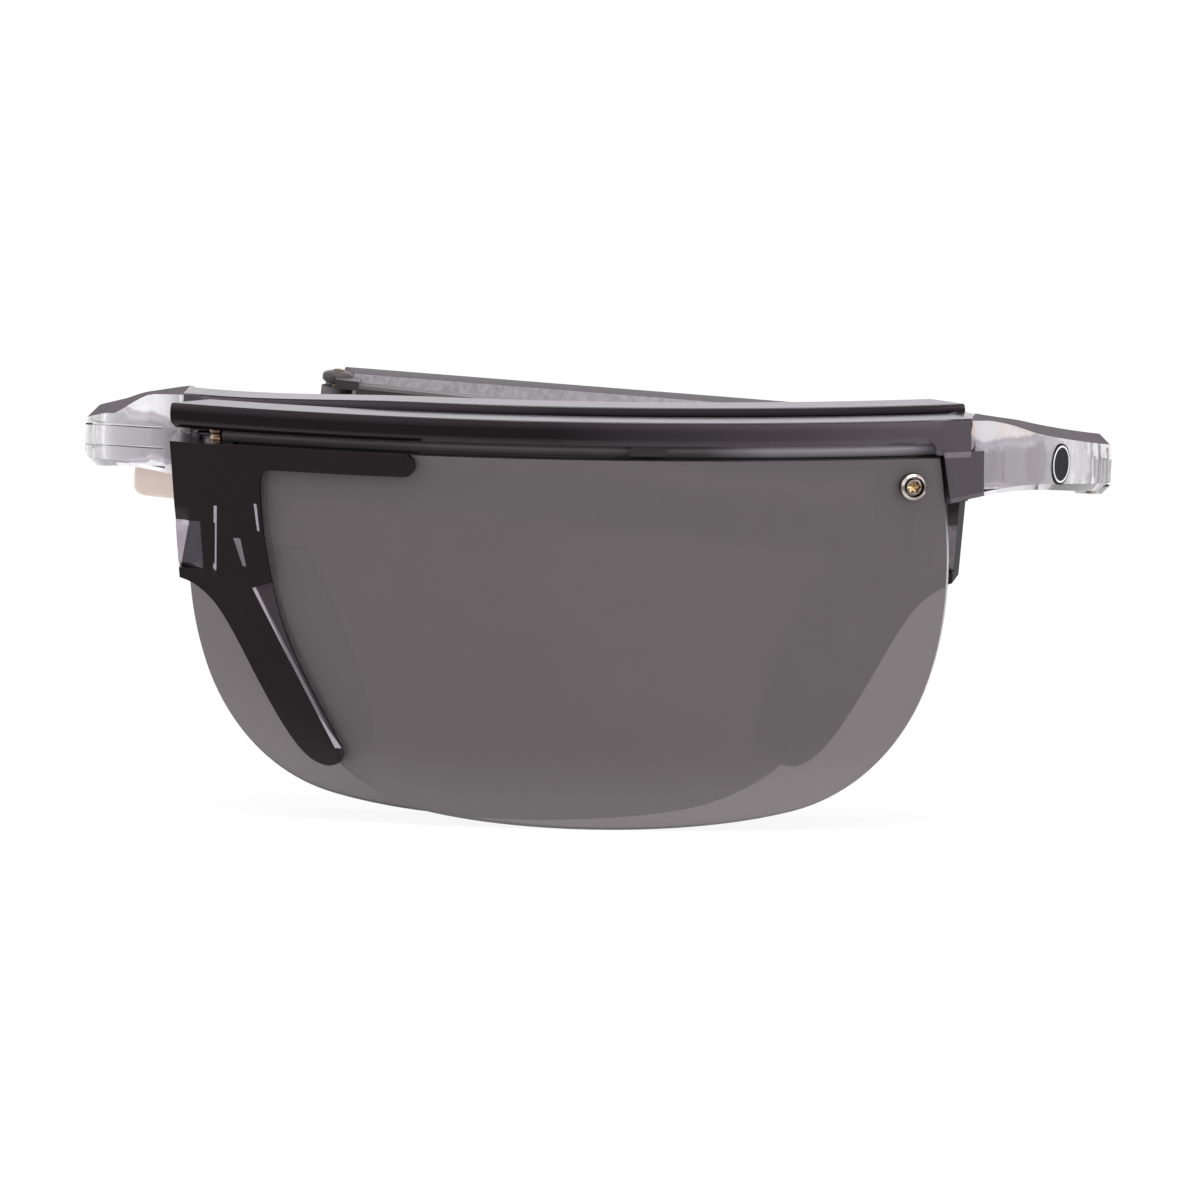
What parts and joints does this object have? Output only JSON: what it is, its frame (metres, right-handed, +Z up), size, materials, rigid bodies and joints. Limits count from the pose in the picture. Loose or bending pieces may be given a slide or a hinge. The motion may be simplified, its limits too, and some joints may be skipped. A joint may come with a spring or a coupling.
{
  "type": "folding sunglasses",
  "caption": "Folding semi-rimless sunglasses: tinted lens halves nest and slide apart on curved brow rails, and each temple folds at its hinge and again at its middle.",
  "frame": {"origin": "on the surface under the lenses, below the middle of the folded part's box", "axes": "+Z up, +X to the viewer's right, +Y from the lenses back to the folded temples"},
  "size_m": [0.093, 0.0672, 0.0363],
  "materials": {
    "frame_plastic": "clear nylon tinted black at the bridge and fading to clear at the hinges",
    "lens_tint": "grey tinted polymer lens, polished",
    "carrier_plastic": "dark smoke moulded nylon, satin to gloss",
    "nose_rubber": "soft black elastomer",
    "steel": "turned stainless steel",
    "brass": "turned brass",
    "rail_steel": "drawn wire, dark",
    "temple_plastic": "clear smoke nylon, inner face frosted",
    "tip_rubber": "matte beige soft tip",
    "badge_plastic": "plain dark oval inlay"
  },
  "bodies": {
    "rear_half": {"rear_brow_frame": "frame_plastic", "rear_lens": "lens_tint", "rear_nose_carrier": "carrier_plastic", "rear_nose_pad": "nose_rubber", "rear_lens_screw": "brass", "rear_lens_bush": "steel", "rear_lens_insert": "brass", "rear_rail": "rail_steel", "rear_bridge_screw": "brass", "rear_hinge_screw": "steel"},
    "rail_link": {"rail_link": "steel"},
    "front_half": {"front_brow_frame": "frame_plastic", "front_lens": "lens_tint", "front_nose_carrier": "carrier_plastic", "front_nose_pad": "nose_rubber", "front_lens_screw": "brass", "front_lens_bush": "steel", "front_lens_insert": "brass", "front_rail": "rail_steel", "front_bridge_screw": "brass", "front_hinge_screw": "steel", "front_badge": "badge_plastic"},
    "right_temple": {"right_temple_front": "temple_plastic", "right_fold_pin": "steel"},
    "right_temple_end": {"right_temple_rear": "temple_plastic", "right_temple_tip": "tip_rubber"},
    "left_temple": {"left_temple_front": "temple_plastic", "left_fold_pin": "steel"},
    "left_temple_end": {"left_temple_rear": "temple_plastic", "left_temple_tip": "tip_rubber"}
  },
  "joints": [
    {"name": "link_slide", "type": "hinge", "parent": "rear_half", "child": "rail_link", "pos_m": [-0.0005, 0.05911, 0], "axis": [0, 0, 1], "range_deg": [-0.48, 22.27]},
    {"name": "front_slide", "type": "hinge", "parent": "rail_link", "child": "front_half", "pos_m": [-0.0005, 0.05911, 0], "axis": [0, 0, 1], "range_deg": [-0.48, 22.27]},
    {"name": "right_hinge", "type": "hinge", "parent": "front_half", "child": "right_temple", "pos_m": [0.0444, -0.00055, 0.02851], "axis": [-0.0466, -0.0321, -0.9984], "range_deg": [0, 112.8]},
    {"name": "right_fold", "type": "hinge", "parent": "right_temple", "child": "right_temple_end", "pos_m": [-0.02293, -0.00018, 0.03367], "axis": [0.0941, 0.0016, 0.9956], "range_deg": [-28, 152]},
    {"name": "left_hinge", "type": "hinge", "parent": "rear_half", "child": "left_temple", "pos_m": [-0.0444, 0.00471, 0.02851], "axis": [0.0471, -0.0313, 0.9984], "range_deg": [0, 112.8]},
    {"name": "left_fold", "type": "hinge", "parent": "left_temple", "child": "left_temple_end", "pos_m": [0.0228, 0.00621, 0.02216], "axis": [-0.0941, 0, -0.9956], "range_deg": [0, 180]}
  ]
}
